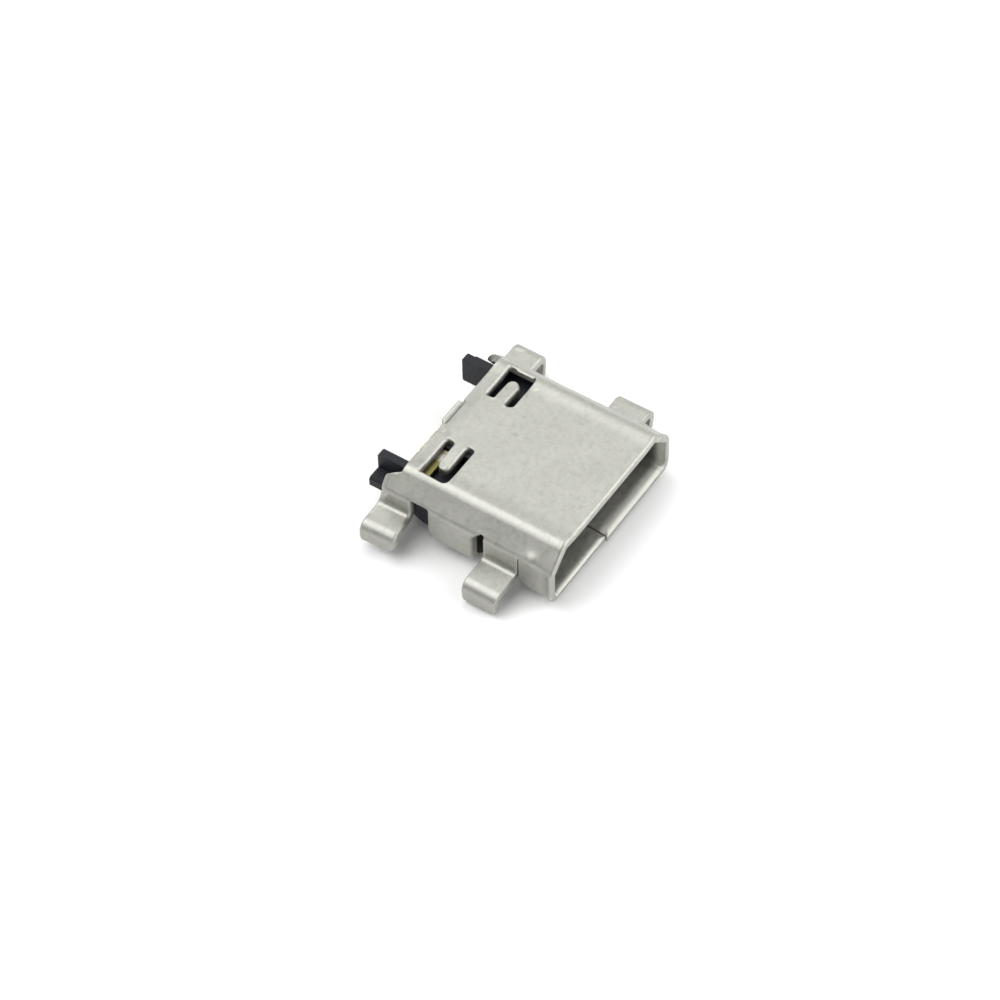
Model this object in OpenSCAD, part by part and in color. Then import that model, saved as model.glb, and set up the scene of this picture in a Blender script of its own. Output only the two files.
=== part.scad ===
// Charging receptacle for the edge of a circuit board: a folded metal shell with four
// board legs round a black insulator with a contact tongue.
// +Z up (the narrow face of the mouth is up), the mouth faces -Y, millimetres.
// The origin is the middle of the footprint, on the plane that the leg tips stand on.

/* [Shell] */
// Outer width of the shell across its upright sides
shell_w = 7.5; // [7.4:0.05:7.7]
// Outer height of the shell
shell_h = 2.5; // [2.4:0.05:2.7]
// Thickness of the sheet
sheet = 0.3; // [0.25:0.01:0.32]
// Width of the flat top between its two folds, before rounding
top_w = 6.0; // [5.8:0.05:6.2]
// Height of the fold between shoulder and upright side
shoulder_z = 1.68; // [1.6:0.02:1.8]
// Outer radius of the upper folds
fold_r = 0.5; // [0.4:0.05:0.6]
// Outer radius of the lower folds
bottom_r = 0.46; // [0.4:0.02:0.6]
// Depth of the top sheet from mouth to rear edge
top_len = 6.72; // [6.5:0.02:7]
// Depth of the sides, to the back of the wrapped rear corners
side_len = 7.4; // [7.3:0.02:7.5]
// Width of the seam in the bottom sheet
seam_w = 0.06; // [0.04:0.01:0.1]
// How far the seam lies to one side of the middle
seam_off = 0.3; // [0:0.05:0.4]

/* [Legs] */
// Height of the legs' upper face above the shell's bottom
leg_z = 0.8; // [0.7:0.05:0.9]
// Distance between the outer faces of left and right legs
leg_span = 10.76; // [10.4:0.02:10.8]
// How far the leg tips reach below the shell's bottom
leg_drop = 0.3; // [0.2:0.05:0.5]
// Front edge of the front legs, from the mouth
leg_front_y = 1.55; // [1.5:0.01:1.6]
// Width of the front legs
leg_front_w = 1.4; // [1.2:0.05:1.45]
// Front edge of the rear legs, from the mouth
leg_rear_y = 6.02; // [6:0.01:6.05]
// Width of the rear legs
leg_rear_w = 1.3; // [1.15:0.01:1.34]
// Outer radius of the bend at the end of each leg
leg_bend_r = 0.42; // [0.35:0.01:0.5]

/* [Windows] */
// Outer end of each window, from the middle and measured over the fold
win_out = 2.93; // [2.8:0.01:3]
// Inner end of each window's slots, from the middle
win_in = 1.14; // [1:0.02:1.3]
// Front edge of the front slot, from the mouth
win_y0 = 5.02; // [5:0.01:5.1]
// Rear edge of the rear slot, from the mouth
win_y1 = 6.15; // [6.1:0.01:6.2]
// Width of the front slot
slot_front = 0.31; // [0.25:0.01:0.34]
// Width of the rear slot
slot_rear = 0.33; // [0.25:0.01:0.34]
// Tip of the spring finger, from the middle
finger_tip = 2.42; // [2.3:0.02:2.5]

/* [Insulator] */
// Front face of the insulator's block, from the mouth
block_y = 4.72; // [4.5:0.02:4.8]
// Front end of the tongue, from the mouth
tongue_y = 1; // [0.8:0.05:1.2]
// Width of the tongue
tongue_w = 3.7; // [3.6:0.05:3.8]
// Thickness of the tongue
tongue_t = 0.6; // [0.55:0.05:0.65]
// Gap between the bottom sheet and the tongue
tongue_gap = 0.45; // [0.4:0.05:0.5]
// How far the pegs reach behind the mouth
peg_y = 8; // [7.8:0.05:8.2]

/* [Contacts] */
// Distance between neighbouring contacts
pitch = 0.65; // [0.65:0.01:0.66]
// Width of each contact
contact_w = 0.36; // [0.3:0.01:0.4]
// Thickness of each contact
contact_t = 0.15; // [0.12:0.01:0.16]
// Rear end of the solder tails, from the mouth
tail_y = 7.6; // [7.5:0.05:7.65]

/* [Hidden] */
$fn = 32;
eps = 0.01;
steel = "#c4c5bc";
black = "#1c1d22";
gold = "#b0924a";
seat_z = leg_z - sheet;            // board level: the legs' under face and the tails' under face
tongue_z = sheet + tongue_gap;     // under face of the tongue
tongue_top = tongue_z + tongue_t;
in_h = shell_h - sheet;            // inner face of the top sheet

// ---- plane geometry ----
function unit(v) = v / norm(v);
// Corner points of a closed convex outline (counter-clockwise) moved inwards by d
function inset(p, d) = let (n = len(p)) [for (i = [0:n - 1])
    let (a = p[(i + n - 1) % n], b = p[i], c = p[(i + 1) % n],
         u = unit(b - a), v = unit(c - b),
         nu = [-u[1], u[0]], nv = [-v[1], v[0]])
    b + d * (nu + nv) / (1 + nu * nv)];
// The same outline with corner i rounded to radius r[i], k steps a corner
function round_corners(p, r, k = 6) = let (n = len(p)) [for (i = [0:n - 1])
    let (a = p[(i + n - 1) % n], b = p[i], c = p[(i + 1) % n],
         u = unit(a - b), v = unit(c - b),
         half = acos(u * v) / 2,
         m = unit(u + v), o = b + m * r[i] / sin(half),
         s = b + u * r[i] / tan(half), e = b + v * r[i] / tan(half),
         a0 = atan2(s[1] - o[1], s[0] - o[0]), a1 = atan2(e[1] - o[1], e[0] - o[0]),
         sweep = a1 - a0 > 180 ? a1 - a0 - 360 : a1 - a0 < -180 ? a1 - a0 + 360 : a1 - a0)
    each (r[i] == 0 ? [b] : [for (j = [0:k]) o + r[i] * [cos(a0 + sweep * j / k), sin(a0 + sweep * j / k)]])];
// Points of an arc
function arc(c, r, a0, a1, k = 6) = [for (j = [0:k]) c + r * [cos(a0 + (a1 - a0) * j / k), sin(a0 + (a1 - a0) * j / k)]];

// Cross-section of the shell, X against Z, from the lower left corner round
section = [[-shell_w / 2, 0], [shell_w / 2, 0], [shell_w / 2, shoulder_z], [top_w / 2, shell_h],
           [-top_w / 2, shell_h], [-shell_w / 2, shoulder_z]];
section_r = [bottom_r, bottom_r, fold_r, fold_r, fold_r, fold_r];
section_in = inset(section, sheet);
section_in_r = [for (r = section_r) r - sheet];
// Plan of the shell, X against Y: straight mouth, wrapped and rounded rear corners
corner_x = 3.2;
plan = [[-shell_w / 2, 0], [shell_w / 2, 0], [shell_w / 2, side_len], [corner_x, side_len],
        [top_w / 2 - 0.12, top_len], [-top_w / 2 + 0.12, top_len], [-corner_x, side_len], [-shell_w / 2, side_len]];
plan_r = [0, 0, 0.38, 0.12, 0.1, 0.1, 0.12, 0.38];
plan_in = [[-shell_w / 2 + sheet, -1], [shell_w / 2 - sheet, -1], [shell_w / 2 - sheet, side_len - sheet], [corner_x, side_len - sheet],
           [top_w / 2 - 0.12, side_len - sheet], [-top_w / 2 + 0.12, side_len - sheet], [-corner_x, side_len - sheet], [-shell_w / 2 + sheet, side_len - sheet]];

// Moves a part built from the mouth and the shell's bottom into the row's frame
module place() { translate([0, -peg_y / 2, leg_drop]) children(); }
// A plane outline X against Z, pushed along Y from y0 to y1
module along_y(y0, y1) { translate([0, y1, 0]) rotate([90, 0, 0]) linear_extrude(y1 - y0) children(); }
// A plane outline Y against Z, pushed along X, centred on x
module along_x(x, w) { translate([x - w / 2, 0, 0]) rotate([90, 0, 90]) linear_extrude(w) children(); }
module box(a, b) { translate(a) cube(b - a); }
module both() { children(); mirror([1, 0, 0]) children(); }

// ---- shell ----
// The leg on the +X side: down the side, out over the board and down through it
module leg(y0, w, top) {
    x = shell_w / 2; s = sheet; r0 = 0.12; z = leg_z; xo = leg_span / 2; R = leg_bend_r;
    outline = concat(
        [[x - s, top]],
        arc([x + r0, z + r0], s + r0, 180, 270),
        arc([xo - R, z - R], R - s, 90, 0),
        [[xo - s, -leg_drop], [xo, -leg_drop]],
        arc([xo - R, z - R], R, 0, 90),
        arc([x + r0, z + r0], r0, 270, 180),
        [[x, top]]);
    along_y(y0, y0 + w) polygon(outline);
}
// Everything that is cut out of the +X half of the folded tube
module side_cuts() {
    x = shell_w / 2; y0 = leg_front_y; y1 = leg_front_y + leg_front_w;
    // bottom sheet and lower side that went into the front leg
    box([1.5, y0 - 0.08, -1], [x + 1, y1 + 0.42, leg_z + 0.12]);
    // slit in front of the front leg and slot behind it
    box([x - 0.6, y0 - 0.12, 0.3], [x + 1, y0 - 0.06, 1.5]);
    box([x - 0.6, y1, 0.3], [x + 1, y1 + 0.42, 1.57]);
    translate([x - 0.6, y1 + 0.21, 1.57]) rotate([0, 90, 0]) cylinder(r = 0.21, h = 2);
    // bottom sheet and lower side that went into the rear leg
    box([1.5, leg_rear_y - 0.3, -1], [x + 1, 9, leg_z + 0.12]);
    // notch in front of the rear leg
    box([x - 0.62, 5.27, -1], [x + 1, leg_rear_y, 1.72]);
    // opening in the rear of the wrapped corner, where the pegs pass
    box([-eps, top_len, -1], [corner_x + 0.26, 9, 1.62]);
}
// U-shaped slot round the spring finger in the +X half of the top. Its outer end lies on
// the fold and is cut square to the sheet.
module window_cut() {
    fw = (win_y1 - slot_rear) - (win_y0 + slot_front);
    fy = win_y0 + slot_front + fw / 2;
    // middle of the fold's arc and the direction of the outer end
    bend = atan2(shell_h - shoulder_z, shell_w / 2 - top_w / 2);
    cx = top_w / 2 - fold_r * tan(bend / 2);
    cz = shell_h - fold_r;
    a = (win_out - cx) / fold_r * 180 / PI;
    intersection() {
        translate([0, 0, cz]) linear_extrude(1) difference() {
            union() {
                translate([win_in + slot_front / 2, win_y0]) square([win_out - win_in, slot_front]);
                translate([win_in + slot_front / 2, win_y0 + slot_front / 2]) circle(r = slot_front / 2);
                translate([win_in + slot_rear / 2, win_y1 - slot_rear]) square([win_out - win_in, slot_rear]);
                translate([win_in + slot_rear / 2, win_y1 - slot_rear / 2]) circle(r = slot_rear / 2);
                translate([finger_tip - fw / 2, win_y0]) square([win_out - finger_tip + fw / 2 + 0.2, win_y1 - win_y0]);
            }
            translate([finger_tip - fw / 2, fy]) circle(r = fw / 2);
            translate([win_in - 0.5, fy - fw / 2]) square([finger_tip - fw / 2 - win_in + 0.5, fw]);
        }
        along_y(win_y0 - 1, win_y1 + 1) polygon([[0, cz - 0.1], [cx, cz - 0.1], [cx, cz], [cx + 0.9 * sin(a), cz + 0.9 * cos(a)], [0, cz + 0.9]]);
    }
}
module shell() {
    color(steel) place() {
        difference() {
            intersection() {
                along_y(0, side_len) polygon(round_corners(section, section_r));
                translate([0, 0, -1]) linear_extrude(6) polygon(round_corners(plan, plan_r));
            }
            intersection() {
                along_y(-1, 9) polygon(round_corners(section_in, section_in_r));
                translate([0, 0, -1]) linear_extrude(6)
                    polygon(round_corners(plan_in, [0, 0, 0.1, 0, 0, 0, 0, 0.1]));
            }
            both() { side_cuts(); window_cut(); }
            // open rear between the wrapped corners
            box([-corner_x - 0.26, top_len, -1], [corner_x + 0.26, 9, 1.62]);
            // butt seam along the bottom sheet
            box([-seam_off - seam_w / 2, -1, -1], [-seam_off + seam_w / 2, 9, sheet + 0.1]);
        }
        both() {
            leg(leg_front_y, leg_front_w, shoulder_z - 0.2);
            leg(leg_rear_y, leg_rear_w, 1.3);
            // round bump in the shoulder
            translate([3.5, 1.02, 1.74]) sphere(r = 0.26, $fn = 24);
        }
        // lip at the middle of the top's rear edge
        box([-0.5, top_len - 0.1, in_h], [0.68, top_len + 0.15, shell_h - 0.09]);
    }
}

// ---- insulator ----
module peg() {
    // upright rib and the low ledge outside it
    rib = [[top_len - 0.2, 0.95], [peg_y - 0.08, 0.95], [peg_y, 1.03], [peg_y, 2.06], [peg_y - 0.07, 2.13], [top_len - 0.2, 2.13]];
    along_x(2.66, 0.32) polygon(rib);
    ledge = [[2.5, 0.95], [3.32, 0.95], [3.42, 1.05], [3.42, 1.36], [3.34, 1.44], [2.5, 1.44]];
    along_y(top_len - 0.2, peg_y - 0.02) polygon(ledge);
}
module housing_block() {
    difference() {
        intersection() {
            along_y(block_y, top_len + 0.02) polygon(round_corners(section_in, [for (r = section_in_r) r + 0.08]));
            translate([0, 0, -1]) linear_extrude(6) polygon([[-3.45, 0], [3.45, 0], [3.45, 6.6], [3.2, top_len + 0.02], [-3.2, top_len + 0.02], [-3.45, 6.6]]);
        }
        // pockets under the spring fingers
        both() box([1.3, win_y0 - 0.05, in_h - 0.4], [2.95, win_y1 + 0.05, 3]);
        // lower corners, sloped up towards the rear
        both() along_x(3.2, 1) polygon([[5.2, 0], [5.2, 0.25], [6.1, 0.72], [7, 0.72], [7, 0]]);
    }
    // low shelf that carries the tails
    box([-2.4, top_len - 0.1, sheet], [2.4, 7.1, 1.0]);
    both() peg();
}
module tongue() {
    z0 = tongue_z; z1 = tongue_top;
    along_x(0, tongue_w) polygon([[tongue_y, z0 + 0.14], [tongue_y + 0.14, z0], [block_y + 0.1, z0], [block_y + 0.1, z1],
                                  [tongue_y + 0.14, z1], [tongue_y, z1 - 0.14]]);
    // thicker root of the tongue
    along_x(0, tongue_w + 0.5) polygon([[block_y - 0.45, z0], [block_y + 0.1, z0 - 0.1], [block_y + 0.1, z1 + 0.12], [block_y - 0.12, z1 + 0.12], [block_y - 0.45, z1]]);
}

// ---- contacts ----
// Outline of a strip, Y against Z: along the tongue, down behind the block, out as a tail
function strip(ya, za, yb) = let (t = contact_t, r = 0.08) concat(
    [[ya, za]],
    arc([yb - t - r, za - r], r, 90, 0, 4),
    arc([yb + r, seat_z + t + r], t + r, 180, 270, 4),
    [[tail_y, seat_z], [tail_y, seat_z + t]],
    arc([yb + r, seat_z + t + r], r, 270, 180, 4),
    arc([yb - t - r, za - r], r + t, 0, 90, 4),
    [[ya, za + t]]);
module contact_form(i) {
    along_x((i - 3) * pitch, contact_w) polygon(strip(tongue_y + 0.22, tongue_top - contact_t + 0.04, 6.98));
}
module side_form() {
    // plate below the rear slot of one window, with its tail
    z = in_h - 0.28;
    box([-2.9, win_y1 - 0.22, z], [-1.35, win_y1 + 0.25, z + contact_t]);
    along_x(-2.08, contact_w) polygon(strip(win_y1 + 0.1, z, 6.98));
}
module housing() {
    color(black) place() difference() {
        union() { housing_block(); tongue(); }
        for (i = [1:5]) contact_form(i);
        side_form();
    }
}
module side_contact() { color(gold) place() side_form(); }
module contact_1() { color(gold) place() contact_form(1); }
module contact_2() { color(gold) place() contact_form(2); }
module contact_3() { color(gold) place() contact_form(3); }
module contact_4() { color(gold) place() contact_form(4); }
module contact_5() { color(gold) place() contact_form(5); }

shell();
housing();
side_contact();
contact_1();
contact_2();
contact_3();
contact_4();
contact_5();
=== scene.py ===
import bpy, math
import numpy as np
from mathutils import Matrix, Vector
from mathutils.geometry import delaunay_2d_cdt


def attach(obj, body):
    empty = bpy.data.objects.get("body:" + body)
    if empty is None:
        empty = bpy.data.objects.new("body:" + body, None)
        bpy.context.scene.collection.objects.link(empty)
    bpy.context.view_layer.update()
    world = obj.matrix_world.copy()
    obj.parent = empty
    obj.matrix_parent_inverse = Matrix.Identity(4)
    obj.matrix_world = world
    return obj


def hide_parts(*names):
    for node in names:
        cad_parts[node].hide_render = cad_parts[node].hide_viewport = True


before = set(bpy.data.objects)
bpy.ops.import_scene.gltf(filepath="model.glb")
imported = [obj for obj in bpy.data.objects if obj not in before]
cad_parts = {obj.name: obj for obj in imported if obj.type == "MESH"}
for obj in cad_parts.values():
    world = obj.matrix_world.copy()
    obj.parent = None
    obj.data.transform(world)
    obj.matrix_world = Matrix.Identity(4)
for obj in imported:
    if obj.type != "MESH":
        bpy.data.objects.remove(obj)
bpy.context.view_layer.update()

# Lengths in this file are millimetres from the mouth plane (y) and the shell's bottom (z).
# SHIFT takes them into the row's frame.
SHIFT = np.array([0.0, -4.0, 0.3])
MM = 0.001
T = 0.3                                   # sheet thickness


def unit(v):
    v = np.asarray(v, float)
    return v / np.linalg.norm(v)


def smooth(x):
    x = np.clip(x, 0.0, 1.0)
    return x * x * (3.0 - 2.0 * x)


# ------------------------------------------------------------------ folded sheet
class Path:
    """Outer face of the sheet in the X-Z plane, by arc length from the middle of the top."""

    def __init__(self, pts, radii):
        pts = [np.array(p, float) for p in pts]
        n = len(pts)
        dirs = [unit(pts[i + 1] - pts[i]) for i in range(n - 1)]
        ang = [math.atan2(d[1], d[0]) for d in dirs]
        knots, s, cut_before = [(0.0, ang[0])], 0.0, 0.0
        self.marks = []
        for i in range(1, n - 1):
            turn = ang[i] - ang[i - 1]
            turn = (turn + math.pi) % (2 * math.pi) - math.pi
            r = radii[i - 1]
            tan = r * math.tan(abs(turn) / 2)
            s += np.linalg.norm(pts[i] - pts[i - 1]) - cut_before - tan
            knots.append((s, knots[-1][1]))
            self.marks.append(s)
            s += r * abs(turn)
            knots.append((s, knots[-1][1] + turn))
            self.marks.append(s)
            cut_before = tan
        s += np.linalg.norm(pts[-1] - pts[-2]) - cut_before
        self.length = s
        ks, ka = np.array([k[0] for k in knots]), np.array([k[1] for k in knots])
        self.S = np.arange(0.0, s + 1.5, 0.002)
        mid = self.S[:-1] + 0.001
        a = np.interp(mid, ks, ka)
        self.X = pts[0][0] + np.concatenate([[0.0], np.cumsum(np.cos(a)) * 0.002])
        self.Z = pts[0][1] + np.concatenate([[0.0], np.cumsum(np.sin(a)) * 0.002])
        self.A = np.interp(self.S, ks, ka)

    def at(self, s):
        return (np.interp(s, self.S, self.X), np.interp(s, self.S, self.Z), np.interp(s, self.S, self.A))

    def s_of_z(self, z, lo, hi):
        m = (self.S >= lo) & (self.S <= hi)
        return float(np.interp(-z, -self.Z[m], self.S[m]))

    def s_of_x(self, x, lo, hi):
        m = (self.S >= lo) & (self.S <= hi)
        xs = self.X[m]
        return float(np.interp(x, xs, self.S[m]) if xs[-1] > xs[0] else np.interp(-x, -xs, self.S[m]))


HALF, HIGH, TOPX, SHZ = 3.75, 2.5, 3.0, 1.68
R_TOP, R_SH, R_LOW = 0.5, 0.42, 0.46
tube = Path([(0, HIGH), (TOPX, HIGH), (HALF, SHZ), (HALF, 0), (-1.0, 0)], [R_TOP, R_SH, R_LOW])
F1A, F1B, F2A, F2B, F3A, F3B = tube.marks


class Leg:
    def __init__(self, side, y0, y1, top, reach, tip, bend=0.42, lift=0.0, slope=0.0, grow=0.0, skew=0.0, tuck=0.0):
        self.side, self.y0, self.y1 = side, y0, y1
        self.path = Path([(0, HIGH), (TOPX, HIGH), (HALF, SHZ), (HALF, top), (reach, top), (reach - tuck, tip)],
                         [R_TOP, R_SH, 0.2, bend])
        self.root = self.path.marks[4]
        self.end = self.path.length
        self.slope, self.grow, self.skew, self.lift = slope, grow, skew, lift


LEGS = {
    (-1, 0): Leg(-1, 1.55, 2.92, 0.76, 5.18, -0.18, slope=0.03, tuck=0.06),
    (-1, 1): Leg(-1, 5.96, 7.34, 0.96, 5.05, 0.10, slope=-0.09, grow=0.06, tuck=0.06),
    (1, 0): Leg(1, 1.55, 2.96, 0.84, 5.38, -0.30, bend=0.5, tuck=0.2),
    (1, 1): Leg(1, 6.12, 7.36, 0.94, 5.36, -0.29, bend=0.5, tuck=0.16),
}
S_SPLIT = tube.s_of_z(1.35, F2B, F3A)
S_LEGS = 7.62
ROLL_Y, ROLL_R = 6.98, 0.42
BUMP = (tube.s_of_z(1.79, F1B, F2B + 0.2), 1.04)


def fold(s, y, d):
    """Blank (s across, y along, depth d below the outer face) to space, mm."""
    s, y, d = np.broadcast_arrays(np.asarray(s, float), np.asarray(y, float), np.asarray(d, float))
    side = np.where(s < 0, -1.0, 1.0)
    a = np.abs(s)
    x, z, th = tube.at(a)
    ext = np.zeros_like(a)
    q_all = np.zeros_like(a)
    for (sd, row), leg in LEGS.items():
        near = (y > 1.48) & (y < 3.0) if row == 0 else (y > 5.91)
        m = (side == sd) & near & (a > S_SPLIT) & (a < S_LEGS)
        if not m.any():
            continue
        lx, lz, lt = leg.path.at(a[m])
        q = smooth((a[m] - leg.root) / 0.9)
        yc = 0.5 * (leg.y0 + leg.y1)
        lz = lz + q * (leg.lift + leg.slope * (y[m] - yc))
        x[m], z[m], th[m] = lx, lz, lt
        ext[m] = q * leg.grow * np.minimum(0.0, (y[m] - leg.y1)) / (leg.y1 - leg.y0) * 1.6 + q * leg.skew
        q_all[m] = q
    nx, nz = -np.sin(th), np.cos(th)
    # rear corners rolled inwards
    w = np.where(a < F1A + 0.02, 0.0, 1.0)
    w = w * np.where(a > F2A, 1.0 - smooth((a - S_SPLIT + 0.05) / 0.42), 1.0)
    over = np.maximum(0.0, y - ROLL_Y)
    phi = np.minimum(over / ROLL_R, math.pi / 2)
    past = np.maximum(0.0, over - ROLL_R * math.pi / 2)
    off = ROLL_R * (1 - np.cos(phi)) + past
    yr = np.where(over > 0, ROLL_Y + ROLL_R * np.sin(phi), y)
    px = x - nx * off - nx * np.cos(phi) * d
    pz = z - nz * off - nz * np.cos(phi) * d
    py = yr - np.sin(phi) * d
    qx, qz, qy = x - nx * d, z - nz * d, y
    X, Y, Z = qx + w * (px - qx), qy + w * (py - qy) + ext, qz + w * (pz - qz)
    # fine shape: bumps in the shoulders, soft bow of the top, waves left by folding
    r2 = (a - BUMP[0]) ** 2 + (y - BUMP[1]) ** 2
    h = 0.065 * np.exp(-(r2 / (2 * 0.165 ** 2)) ** 1.2)
    flat = 1.0 - smooth((a - 2.2) / 0.6)
    h = h - 0.012 * flat * np.sin(y * 0.9 + 0.4) * np.cos(a * 0.8)
    h = h + 0.006 * np.sin(2.3 * y + 1.7 * s) * smooth((y - 0.2) / 0.6)
    # the spring fingers sit a little low at the tip
    on = np.where((y > 5.17) & (y < 5.99) & (a < 2.7), 1.0, 0.0) * smooth((a - 1.25) / 1.3)
    h = h - 0.06 * on
    # lip in the middle of the rear edge: a crease, then a tab that turns up again
    tab = smooth((s + 0.60) / 0.12) * smooth((0.78 - s) / 0.12)
    h = h - tab * (0.11 * smooth((y - 6.60) / 0.11) - 0.09 * smooth((y - 6.72) / 0.16))
    # the mouth opens a little at its sides and bottom
    h = h + smooth((0.6 - y) / 0.6) ** 2 * (0.03 * smooth((a - F1B) / 0.5) + 0.08 * smooth((a - F2A) / 0.4) * smooth((F3B - a) / 0.3)
                                            + np.where(side > 0, 0.06, 0.0) * smooth((a - F2A) / 0.4))
    # the folds stand up a little, and the strip behind the windows drops towards the rear
    h = h + 0.022 * np.exp(-((a - 2.80) / 0.24) ** 2)
    h = h - 0.05 * smooth((y - 6.10) / 0.62) * (1.0 - smooth((a - 2.7) / 0.5))
    h = h - 0.030 * flat
    X, Z = X + nx * h, Z + nz * h
    return np.stack([side * X, Y, Z], -1)


def rounded(corners, step=0.06):
    """Closed outline with rounded corners, evenly sampled. corners: (s, y, r)."""
    c = [(np.array(p[:2], float), p[2]) for p in corners]
    n, out = len(c), []
    for i in range(n):
        (a, _), (b, r), (e, _) = c[i - 1], c[i], c[(i + 1) % n]
        u, v = unit(a - b), unit(e - b)
        cosang = float(np.clip(u @ v, -1, 1))
        half = math.acos(cosang) / 2
        if r <= 0 or half > math.pi / 2 - 1e-3:
            out.append([b])
            continue
        tl = r / math.tan(half)
        o = b + unit(u + v) * r / math.sin(half)
        p0, p1 = b + u * tl, b + v * tl
        a0, a1 = math.atan2(*(p0 - o)[::-1]), math.atan2(*(p1 - o)[::-1])
        sw = (a1 - a0 + math.pi) % (2 * math.pi) - math.pi
        k = max(3, int(math.ceil(abs(sw) / math.radians(18))), int(abs(sw) * r / step))
        out.append([o + r * np.array([math.cos(a0 + sw * j / k), math.sin(a0 + sw * j / k)]) for j in range(k + 1)])
    pts = []
    for i in range(n):
        pts += out[i]
        p, q = out[i][-1], out[(i + 1) % n][0]
        L = np.linalg.norm(q - p)
        k = int(L / step)
        pts += [p + (q - p) * j / (k + 1) for j in range(1, k + 1)]
    P = np.array(pts)
    keep = np.linalg.norm(P - np.roll(P, 1, 0), axis=1) > 1e-4
    return P[keep]


def area(P):
    x, y = P[:, 0], P[:, 1]
    return 0.5 * float(np.sum(x * np.roll(y, -1) - np.roll(x, -1) * y))


def inward(P):
    """Unit normals to the left of the outline's direction."""
    t = np.roll(P, -1, 0) - np.roll(P, 1, 0)
    t /= np.linalg.norm(t, axis=1)[:, None]
    # average of both edges' normals, so that corners stay even
    return np.stack([-t[:, 1], t[:, 0]], -1)


def inside(P, Q):
    """Which points Q lie inside the outline P."""
    x, y = Q[:, 0][:, None], Q[:, 1][:, None]
    x0, y0 = P[:, 0][None], P[:, 1][None]
    x1, y1 = np.roll(P[:, 0], -1)[None], np.roll(P[:, 1], -1)[None]
    hit = ((y0 > y) != (y1 > y)) & (x < (x1 - x0) * (y - y0) / np.where(y1 == y0, 1e-12, y1 - y0) + x0)
    return hit.sum(1) % 2 == 1


def near_any(P, Q, dist):
    out = np.zeros(len(Q), bool)
    for i in range(0, len(Q), 2000):
        d = ((Q[i:i + 2000, None, :] - P[None]) ** 2).sum(-1).min(1)
        out[i:i + 2000] = d < dist * dist
    return out


SEAM_X, SEAM_W = -0.3, 0.04
S_SEAM = {sd: tube.s_of_x(sd * SEAM_X + 0.5 * SEAM_W, F3B, F3B + 4.6) for sd in (-1, 1)}
S_B15 = tube.s_of_x(1.5, F3B, F3B + 4)
S_B31 = tube.s_of_x(3.13, F3B, F3B + 4)
zz = lambda z: tube.s_of_z(z, F1B, F3B - 0.01)
TOP_Y = 6.72


def outline_half(side, seam_dy):
    """Right half of the outer edge, from the seam's front corner round to the middle of the rear edge."""
    leg = LEGS[(side, 1)]
    c = [(S_SEAM[side], 0.0 + seam_dy, 0.05), (S_SEAM[side], TOP_Y, 0.08), (S_B15, TOP_Y, 0.1), (S_B15, 5.86, 0.1), (S_B31, 5.86, 0.12),
         (S_B31 - 0.02, 5.0, 0.1), (zz(0.24), 4.98, 0.12), (zz(0.62), 5.27, 0.34), (zz(1.70), 5.27, 0.09),
         (zz(1.70), leg.y0 + 0.04, 0.09), (leg.end, leg.y0, 0.3 if side < 0 else 0.16), (leg.end, leg.y1, 0.14),
         (zz(1.10), leg.y1, 0.3), (zz(1.36), 7.43, 0.3), (F1B + 0.42, 7.46 if side < 0 else 7.62, 0.24),
         (F1B + 0.13, 6.92, 0.12), (F1B + 0.02, 6.73, 0.06), (F1A + 0.1, TOP_Y, 0.1)]
    return c


def mirrored(c):
    return [(-p[0], p[1], p[2]) for p in reversed(c)]


right = outline_half(1, 0.0)
left = outline_half(-1, 0.05)
lip = [(0.70, TOP_Y, 0.05), (0.62, TOP_Y + 0.15, 0.05), (-0.44, TOP_Y + 0.15, 0.05), (-0.52, TOP_Y, 0.05)]
outer = rounded(right + lip + mirrored(left))
if area(outer) < 0:
    outer = outer[::-1].copy()


def hole_leg(side):
    leg = LEGS[(side, 0)]
    c = [(zz(1.60), 1.47, 0.01), (zz(0.66), 1.46, 0.1), (zz(0.16), 1.20, 0.2), (S_B15, 1.20, 0.1), (S_B15, 3.05, 0.1),
         (tube.s_of_x(2.5, F3B, F3B + 4), 3.05, 0.2), (zz(0.34), 3.37, 0.3), (zz(1.42), 3.37, 0.12), (zz(1.81), 3.06, 0.1), (zz(1.76), 2.95, 0.04),
         (leg.end, leg.y1, 0.14), (leg.end, leg.y0, 0.16), (zz(1.60), 1.50, 0.01)]
    return [(side * p[0], p[1], p[2]) for p in c]


def hole_window(side):
    if side < 0:
        xo, fi, ri, tip, rf, rr = 2.92, 1.06, 1.12, 2.36, 0.14, 0.15
        y0, f0, f1, y1 = 5.02, 5.33, 5.82, 6.15
    else:
        xo, fi, ri, tip, rf, rr = 2.93, 1.27, 1.34, 2.44, 0.15, 0.06
        y0, f0, f1, y1 = 5.02, 5.33, 5.85, 6.15
    ft = (f1 - f0) / 2 - 0.005
    c = [(xo, y0, 0.2), (xo - 0.04, y1, 0.06), (ri, y1, rr), (ri, f1, rr), (tip, f1, ft), (tip, f0, ft), (fi, f0, rf), (fi, y0, rf)]
    return [(side * p[0], p[1], p[2]) for p in c]


holes = []
for side in (-1, 1):
    for c, st in ((hole_leg(side), 0.06), (hole_window(side), 0.05)):
        P = rounded(c, st)
        if area(P) > 0:
            P = P[::-1].copy()
        holes.append(P)
loops = [outer] + holes


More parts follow.
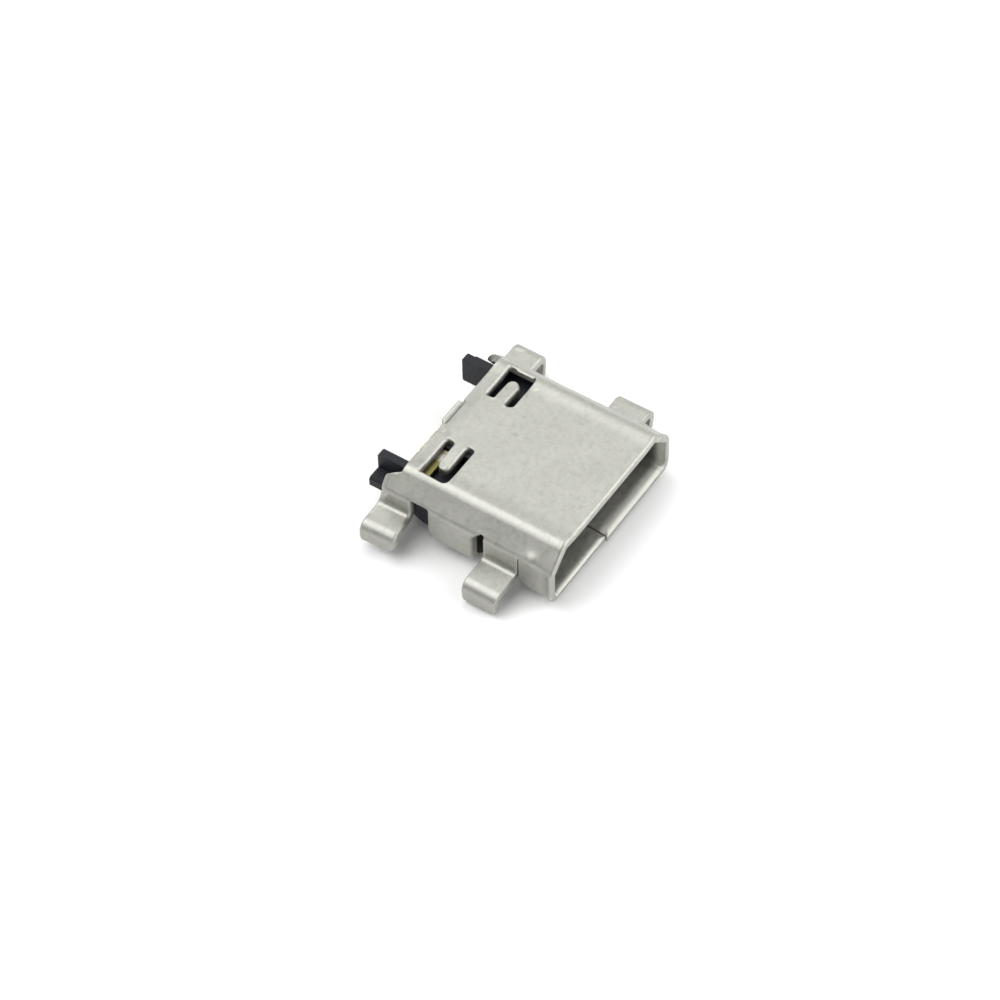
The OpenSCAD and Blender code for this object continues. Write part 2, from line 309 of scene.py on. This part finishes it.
def edge_radius(P, outer_face):
    """Roll-over of the punched edge at each outline point: reach along the sheet and depth into it."""
    m = inward(P)
    a = np.abs(P[:, 0])
    mouth = P[:, 1] < 0.2
    if outer_face:
        # edges that face the mouth are rolled over most, those that face the rear hardly
        r = 0.05 + 0.08 * smooth((m[:, 1] + 0.35) / 1.1)
        r = np.where(mouth, 0.14, r)
        # the far window's outer end is pressed down over a wider strip
        r = np.where((P[:, 0] > 2.90) & (P[:, 0] < 2.96) & (m[:, 0] > 0.8) & (P[:, 1] > 5.0) & (P[:, 1] < 6.2), 0.34, r)
    else:
        # only the bottom sheet has a wide lead-in for the plug
        r = np.where(mouth, 0.06 + 0.15 * smooth((a - F3A) / (F3B - F3A)), 0.05)
    slit = (P[:, 1] > 1.40) & (P[:, 1] < 1.60) & (a > zz(1.66)) & (a < S_LEGS)
    r = np.where(slit, 0.035, r)
    r = np.where((a > S_LEGS) & ~mouth, 0.05, r)
    # no wider than the outline's own convex corners allow
    e = np.roll(P, -1, 0) - P
    L = np.linalg.norm(e, axis=1)
    t = e / L[:, None]
    tp = np.roll(t, 1, 0)
    turn = np.arctan2(tp[:, 0] * t[:, 1] - tp[:, 1] * t[:, 0], (tp * t).sum(1))
    rc = np.where(turn > 0.02, 0.8 * 0.5 * (L + np.roll(L, 1)) / np.maximum(2 * np.tan(turn / 2), 1e-6), 9.0)
    lim = rc
    for k in (1, 2):
        lim = np.minimum(lim, np.minimum(np.roll(rc, k), np.roll(rc, -k)) + 0.02 * k)
    r = np.minimum(r, np.maximum(lim, 0.015))
    for _ in range(3):
        r = np.minimum(r, 0.25 * np.roll(r, 1) + 0.5 * r + 0.25 * np.roll(r, -1))
    if outer_face:
        depth = np.minimum(r, 0.13) * (1.0 + 0.7 * np.clip(m[:, 1], 0.0, 1.0) * np.where(mouth, 0.35, 1.0))
    else:
        depth = np.minimum(r, 0.11)
    return r, depth


def clean_inset(P, r):
    """Outline moved into the sheet by r."""
    m = inward(P)
    return P + m * r[:, None], m


# interior points of the blank
def levels(a, b, step):
    return np.linspace(a, b, max(2, int(round((b - a) / step)) + 1))


s_pos = np.unique(np.round(np.concatenate([
    levels(0, F1A, 0.11), levels(F1A, F1B, 0.045), levels(F1B, F2A, 0.07), levels(F2A, F2B, 0.045),
    levels(F2B, F3B + 0.05, 0.055), levels(F3B + 0.05, 7.7, 0.07), levels(7.7, max(S_SEAM.values()), 0.12)]), 5))
s_all = np.concatenate([-s_pos[::-1], s_pos[1:]])
y_all = np.concatenate([levels(0.0, 6.9, 0.085), levels(6.95, 7.8, 0.05)])
SS, YY = np.meshgrid(s_all, y_all, indexing="ij")
G = np.stack([SS.ravel(), YY.ravel()], -1)
ok = inside(outer, G)
G = G[ok]
for h in holes:
    G = G[~inside(h, G)]


def face_mesh(rings):
    """Triangles between the inset outlines, over the interior points."""
    pts = [p for p in G]
    allr = np.concatenate(rings)
    keep = ~near_any(allr, G, 0.035)
    m = inside(rings[0], G)
    for h in rings[1:]:
        m &= ~inside(h, G)
    keep &= m
    inner = G[keep]
    P = np.concatenate([allr, inner])
    edges, start = [], 0
    for r in rings:
        n = len(r)
        edges += [(start + i, start + (i + 1) % n) for i in range(n)]
        start += n
    vs, es, fs, ov, oe, of = delaunay_2d_cdt([Vector((float(x), float(y))) for x, y in P], edges, [], 0, 1e-7)
    V = np.array([[v[0], v[1]] for v in vs])
    F = np.array([list(f) for f in fs], int)
    c = V[F].mean(1)
    m = inside(rings[0], c)
    for h in rings[1:]:
        m &= ~inside(h, c)
    # map back to input numbering
    back = np.array([o[0] if o else -1 for o in ov])
    if (back < 0).any():
        print("face_mesh: extra vertices", int((back < 0).sum()), V[back < 0][:6].round(3).tolist())
    F = F[m]
    return P, F, V, back


def normals_of(s, y, d, e=1e-3):
    a = fold(s + e, y, d) - fold(s - e, y, d)
    b = fold(s, y + e, d) - fold(s, y - e, d)
    n = np.cross(a, b)
    return n / np.linalg.norm(n, axis=-1, keepdims=True)


verts, norms, tris, quads = [], [], [], []
count = 0


def add(P3, N3):
    global count
    verts.append(P3); norms.append(N3)
    i = count
    count += len(P3)
    return i


ring_start = {}
for outer_face in (True, False):
    rings, radii = [], []
    for P in loops:
        r, _ = edge_radius(P, outer_face)
        rings.append(clean_inset(P, r)[0])
        radii.append(r)
    P, F, V, back = face_mesh(rings)
    d = np.full(len(V), 0.0 if outer_face else T)
    P3 = fold(V[:, 0], V[:, 1], d)
    N3 = normals_of(V[:, 0], V[:, 1], d) * (1 if outer_face else -1)
    i0 = add(P3, N3)
    tris.append((F if outer_face else F[:, ::-1]) + i0)
    inv = {int(b): k for k, b in enumerate(back) if b >= 0}
    st = 0
    for k, R in enumerate(rings):
        ring_start[(outer_face, k)] = np.array([inv.get(st + j, -1) for j in range(len(R))]) + i0
        st += len(R)

for k, P in enumerate(loops):
    m = inward(P)
    (ro, bo), (ri, bi) = edge_radius(P, True), edge_radius(P, False)
    rows = [ring_start[(True, k)]]
    steps = [(o, a) for o, a in (("o", 18), ("o", 36), ("o", 54), ("o", 72), ("o", 90), ("i", 90), ("i", 60), ("i", 30))]
    for kind, deg in steps:
        a = math.radians(deg)
        if kind == "o":
            off, dep, A, B = ro * (1 - math.sin(a)), bo * (1 - math.cos(a)), ro, bo
        else:
            off, dep, A, B = ri * (1 - math.sin(a)), T - bi * (1 - math.cos(a)), ri, bi
        Q = P + m * off[:, None]
        P3 = fold(Q[:, 0], Q[:, 1], dep)
        n = normals_of(Q[:, 0], Q[:, 1], dep)
        e = 2e-3
        t3 = fold(Q[:, 0] + m[:, 0] * e, Q[:, 1] + m[:, 1] * e, dep) - fold(Q[:, 0] - m[:, 0] * e, Q[:, 1] - m[:, 1] * e, dep)
        t3 /= np.linalg.norm(t3, axis=1)[:, None]
        sgn = 1 if kind == "o" else -1
        N3 = n * (A * math.cos(a) * sgn)[:, None] - t3 * (B * math.sin(a))[:, None]
        N3 /= np.linalg.norm(N3, axis=1)[:, None]
        i0 = add(P3, N3)
        rows.append(np.arange(len(P)) + i0)
    rows.append(ring_start[(False, k)])
    n = len(P)
    nxt = (np.arange(n) + 1) % n
    for a, b in zip(rows[:-1], rows[1:]):
        quads.append(np.stack([a, b, b[nxt], a[nxt]], -1))

V = (np.concatenate(verts) + SHIFT) * MM
N = np.concatenate(norms)
faces = [tuple(int(i) for i in f) for f in np.concatenate(tris)] + [tuple(int(i) for i in f) for f in np.concatenate(quads)]
faces = [f for f in faces if min(f) >= 0]


def make_object(name, V, faces, N=None, smooth_faces=True):
    me = bpy.data.meshes.new(name)
    me.from_pydata([tuple(v) for v in V], [], faces)
    me.update()
    if smooth_faces:
        me.polygons.foreach_set("use_smooth", [True] * len(me.polygons))
    if N is not None:
        me.normals_split_custom_set_from_vertices([tuple(n) for n in N])
    ob = bpy.data.objects.new(name, me)
    bpy.context.scene.collection.objects.link(ob)
    return ob


shell = make_object("shell_skin", V, faces, N)


# ------------------------------------------------------------------ materials
def new_mat(name):
    mt = bpy.data.materials.new(name)
    mt.use_nodes = True
    nt = mt.node_tree
    nt.nodes.clear()
    out = nt.nodes.new("ShaderNodeOutputMaterial")
    bsdf = nt.nodes.new("ShaderNodeBsdfPrincipled")
    nt.links.new(bsdf.outputs[0], out.inputs[0])
    return mt, nt, bsdf


def node(nt, kind, ins=None, **props):
    nd = nt.nodes.new(kind)
    for k, v in props.items():
        setattr(nd, k, v)
    for k, v in (ins or {}).items():
        if isinstance(v, bpy.types.NodeSocket):
            nt.links.new(v, nd.inputs[k])
        else:
            nd.inputs[k].default_value = v
    return nd


def noise(nt, vec, scale, detail=4.0, rough=0.55, distort=0.0):
    return node(nt, "ShaderNodeTexNoise", {"Vector": vec, "Scale": scale, "Detail": detail, "Roughness": rough,
                                           "Distortion": distort}).outputs["Fac"]


def ramp(nt, fac, stops):
    nd = nt.nodes.new("ShaderNodeValToRGB")
    el = nd.color_ramp.elements
    while len(el) < len(stops):
        el.new(0.5)
    for e, (p, c) in zip(el, stops):
        e.position = p
        e.color = (*c, 1.0) if len(c) == 3 else c
    nt.links.new(fac, nd.inputs[0])
    return nd.outputs[0]


def maprange(nt, fac, a, b, c, d):
    return node(nt, "ShaderNodeMapRange", {"Value": fac, "From Min": a, "From Max": b, "To Min": c, "To Max": d}).outputs[0]


def mix(nt, fac, a, b, kind="MIX"):
    nd = nt.nodes.new("ShaderNodeMix")
    nd.data_type = "RGBA"
    nd.blend_type = kind
    for sock, v in (("Factor", fac), ("A", a), ("B", b)):
        tgt = [i for i in nd.inputs if i.name == sock and i.enabled][0]
        if isinstance(v, bpy.types.NodeSocket):
            nt.links.new(v, tgt)
        else:
            tgt.default_value = v if not isinstance(v, tuple) or len(v) == 4 else (*v, 1.0)
    return [o for o in nd.outputs if o.enabled][0]


def coords(nt, scale=(1, 1, 1), rot=(0, 0, 0)):
    tc = nt.nodes.new("ShaderNodeTexCoord")
    mp = node(nt, "ShaderNodeMapping", {"Vector": tc.outputs["Object"], "Scale": (1000 * scale[0], 1000 * scale[1], 1000 * scale[2]),
                                        "Rotation": rot})
    return mp.outputs[0]


def steel_material():
    mt, nt, b = new_mat("plated_sheet")
    vec = coords(nt)
    big = noise(nt, vec, 0.75, 3, 0.5)
    blotch = noise(nt, vec, 4.6, 6, 0.66, 0.5)
    grain = noise(nt, vec, 11.0, 6, 0.7)
    streak = noise(nt, coords(nt, (0.55, 5.5, 5.5), (0, 0, 0.15)), 1.6, 4, 0.6)
    hue = noise(nt, coords(nt, (1, 1, 1), (0.3, 0.5, 0.9)), 4.2, 3, 0.6)
    col = ramp(nt, blotch, [(0.30, (0.320, 0.322, 0.291)), (0.5, (0.413, 0.415, 0.378)), (0.70, (0.472, 0.474, 0.433))])
    col = mix(nt, maprange(nt, big, 0.35, 0.7, 0.0, 0.4), col, (0.375, 0.378, 0.345))
    col = mix(nt, maprange(nt, hue, 0.35, 0.65, 0.0, 0.5), col, ramp(nt, hue, [(0.4, (0.375, 0.410, 0.350)), (0.6, (0.445, 0.412, 0.392))]))
    col = mix(nt, maprange(nt, grain, 0.52, 0.8, 0.0, 0.35), col, (0.29, 0.288, 0.262))
    # painted highlight: convex edges, found by pointiness, are made lighter in the base colour
    geo = nt.nodes.new("ShaderNodeNewGeometry")
    edge = ramp(nt, geo.outputs["Pointiness"], [(0.56, (0, 0, 0)), (0.68, (1, 1, 1))])
    col = mix(nt, edge, col, (0.52, 0.515, 0.48))
    nt.links.new(col, b.inputs["Base Color"])
    b.inputs["Metallic"].default_value = 1.0
    rough = node(nt, "ShaderNodeMath", {0: maprange(nt, blotch, 0.3, 0.75, 0.46, 0.56), 1: maprange(nt, streak, 0.3, 0.8, -0.03, 0.05)},
                 operation="ADD").outputs[0]
    nt.links.new(rough, b.inputs["Roughness"])
    h = node(nt, "ShaderNodeMath", {0: maprange(nt, blotch, 0, 1, 0, 0.6), 1: maprange(nt, grain, 0, 1, 0, 0.35)}, operation="ADD").outputs[0]
    h = node(nt, "ShaderNodeMath", {0: h, 1: maprange(nt, streak, 0, 1, 0, 0.3)}, operation="ADD").outputs[0]
    bump = node(nt, "ShaderNodeBump", {"Height": h, "Strength": 0.22, "Distance": 0.00002})
    nt.links.new(bump.outputs[0], b.inputs["Normal"])
    return mt


def plastic_material():
    mt, nt, b = new_mat("moulded_black")
    vec = coords(nt)
    n1 = noise(nt, vec, 3.0, 4, 0.6)
    n2 = noise(nt, vec, 24.0, 5, 0.7)
    col = ramp(nt, n1, [(0.3, (0.005, 0.006, 0.009)), (0.7, (0.011, 0.012, 0.018))])
    nt.links.new(col, b.inputs["Base Color"])
    b.inputs["Specular IOR Level"].default_value = 0.3
    nt.links.new(maprange(nt, n1, 0.3, 0.7, 0.42, 0.56), b.inputs["Roughness"])
    bump = node(nt, "ShaderNodeBump", {"Height": maprange(nt, n2, 0, 1, 0, 1), "Strength": 0.35, "Distance": 0.00002})
    nt.links.new(bump.outputs[0], b.inputs["Normal"])
    return mt


def gold_material(name="gold_plating"):
    mt, nt, b = new_mat(name)
    vec = coords(nt)
    n1 = noise(nt, vec, 2.2, 4, 0.6)
    n2 = noise(nt, vec, 14.0, 5, 0.7)
    col = ramp(nt, n1, [(0.3, (0.42, 0.33, 0.10)), (0.6, (0.60, 0.45, 0.16)), (0.8, (0.70, 0.60, 0.36))])
    nt.links.new(col, b.inputs["Base Color"])
    b.inputs["Metallic"].default_value = 1.0
    nt.links.new(maprange(nt, n2, 0.3, 0.7, 0.26, 0.42), b.inputs["Roughness"])
    bump = node(nt, "ShaderNodeBump", {"Height": n2, "Strength": 0.3, "Distance": 0.00002})
    nt.links.new(bump.outputs[0], b.inputs["Normal"])
    return mt


def strip_material():
    """Gold strip with painted light along x: olive bands are painted shade, silver bands are painted reflections."""
    mt, nt, b = new_mat("gold_strip_painted_shade_and_reflection")
    vec = coords(nt)
    n1 = noise(nt, vec, 5.0, 4, 0.6)
    n2 = noise(nt, vec, 16.0, 5, 0.7)
    sep = node(nt, "ShaderNodeSeparateXYZ", {"Vector": vec})
    x = node(nt, "ShaderNodeMath", {0: sep.outputs[0], 1: maprange(nt, n1, 0.3, 0.7, -0.12, 0.12)}, operation="ADD").outputs[0]
    along = maprange(nt, x, -3.0, -1.2, 0.0, 1.0)
    olive_painted_shade, silver_painted_reflection, brown = (0.22, 0.20, 0.075), (0.56, 0.55, 0.50), (0.42, 0.31, 0.12)
    # painted shade (olive) and painted reflections (silver) in bands along the strip; the brown band is the gold's own
    # colour
    col = ramp(nt, along, [(0.0, olive_painted_shade), (0.62, olive_painted_shade), (0.67, silver_painted_reflection), (0.80, silver_painted_reflection), (0.85, brown), (0.90, silver_painted_reflection), (1.0, silver_painted_reflection)])
    col = mix(nt, maprange(nt, n2, 0.5, 0.75, 0.0, 0.5), col, (0.30, 0.27, 0.15))
    nt.links.new(col, b.inputs["Base Color"])
    b.inputs["Metallic"].default_value = 0.9
    nt.links.new(maprange(nt, n2, 0.3, 0.7, 0.38, 0.55), b.inputs["Roughness"])
    bump = node(nt, "ShaderNodeBump", {"Height": n2, "Strength": 0.4, "Distance": 0.00002})
    nt.links.new(bump.outputs[0], b.inputs["Normal"])
    return mt


steel, plastic, gold, strip_with_painted_light = steel_material(), plastic_material(), gold_material(), strip_material()
shell.data.materials.append(steel)
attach(shell, "root")
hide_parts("shell")
for name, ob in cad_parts.items():
    mt = {"shell": steel, "housing": plastic, "side_contact": strip_with_painted_light}.get(name, gold)
    for sl in ob.material_slots:
        sl.material = mt
    if name != "shell":
        bv = ob.modifiers.new("edges", "BEVEL")
        bv.width = 0.00005 if name == "housing" else 0.000025
        bv.segments = 3
        bv.limit_method = "ANGLE"
        bv.angle_limit = math.radians(35)
        bv.harden_normals = True
        bv.use_clamp_overlap = True

# ------------------------------------------------------------------ camera at the photograph's viewing angle
AZ, EL, ROLL = -55.51751, 50.90563, -1.14937
SCALE, DIST, U0, V0 = 28.34902, 139.30367, 611.61117, 535.71005


def basis(az, el, roll):
    a, e, r = (math.radians(v) for v in (az, el, roll))
    back = Vector((math.sin(a) * math.cos(e), -math.cos(a) * math.cos(e), math.sin(e)))
    rt = Vector((math.cos(a), math.sin(a), 0.0))
    up = back.cross(rt)
    return math.cos(r) * rt + math.sin(r) * up, -math.sin(r) * rt + math.cos(r) * up, back


rt, up, back = basis(AZ, EL, ROLL)
loc = DIST * back - (U0 - 500.0) / SCALE * rt + (V0 - 500.0) / SCALE * up + Vector(SHIFT.tolist())
cam_data = bpy.data.cameras.new("photo_camera")
cam = bpy.data.objects.new("photo_camera", cam_data)
bpy.context.scene.collection.objects.link(cam)
m = Matrix((rt, up, back)).transposed().to_4x4()
m.translation = loc * MM
cam.matrix_world = m
cam_data.sensor_fit = "HORIZONTAL"
cam_data.sensor_width = 36.0
cam_data.lens = SCALE * DIST / 1000.0 * 36.0
cam_data.clip_start = 0.001
cam_data.clip_end = 20.0
bpy.context.scene.camera = cam

# ------------------------------------------------------------------ floor and soft studio light
floor_me = bpy.data.meshes.new("floor")
fs = 0.6
floor_me.from_pydata([(-fs, -fs, 0), (fs, -fs, 0), (fs, fs, 0), (-fs, fs, 0)], [], [(0, 1, 2, 3)])
floor = bpy.data.objects.new("floor", floor_me)
bpy.context.scene.collection.objects.link(floor)
floor.location = (0, 0, -0.00002)
fm, fnt, fb = new_mat("floor_paper")
fb.inputs["Base Color"].default_value = (0.86, 0.86, 0.86, 1)
fb.inputs["Roughness"].default_value = 0.9
fb.inputs["Specular IOR Level"].default_value = 0.1
floor_me.materials.append(fm)

world = bpy.data.worlds.new("studio")
bpy.context.scene.world = world
world.use_nodes = True
bg = world.node_tree.nodes["Background"]
bg.inputs[0].default_value = (0.97, 1.0, 0.98, 1)
bg.inputs[1].default_value = 0.23


def area_light(name, direction, dist, size, power, color=(1, 1, 1), size_y=None):
    d = bpy.data.lights.new(name, "AREA")
    d.shape = "RECTANGLE"
    d.size, d.size_y = size, size_y or size
    d.energy = power
    d.color = color
    ob = bpy.data.objects.new(name, d)
    bpy.context.scene.collection.objects.link(ob)
    v = Vector(direction).normalized()
    ob.location = v * dist
    ob.rotation_euler = v.to_track_quat("Z", "Y").to_euler()
    return ob




def soft_box(name, direction, half_w, half_h, radiance, color=(1, 1, 1)):
    """A softbox by its direction, half width and half height in degrees, and its brightness."""
    dist = 0.30
    w, h = (2 * dist * math.tan(math.radians(v)) for v in (half_w, half_h))
    return area_light(name, direction, dist, w, radiance * math.pi * w * h, color, size_y=h)


soft_box("top_box", (-0.25, 0.36, 0.87), 28, 28, 3.1)
soft_box("fill_box", (0.52, 0.34, 0.78), 22, 24, 1.15)
soft_box("right_box", (0.52, -0.60, 0.60), 22, 22, 3.1)
soft_box("front_box", (0.0, -0.94, 0.30), 26, 14, 3.1)
soft_box("side_box", (0.93, 0.26, 0.26), 24, 12, 1.15)

bpy.context.scene.view_settings.view_transform = "Standard"
bpy.context.scene.view_settings.look = "None"

print("tris", len(faces), "verts", len(V))
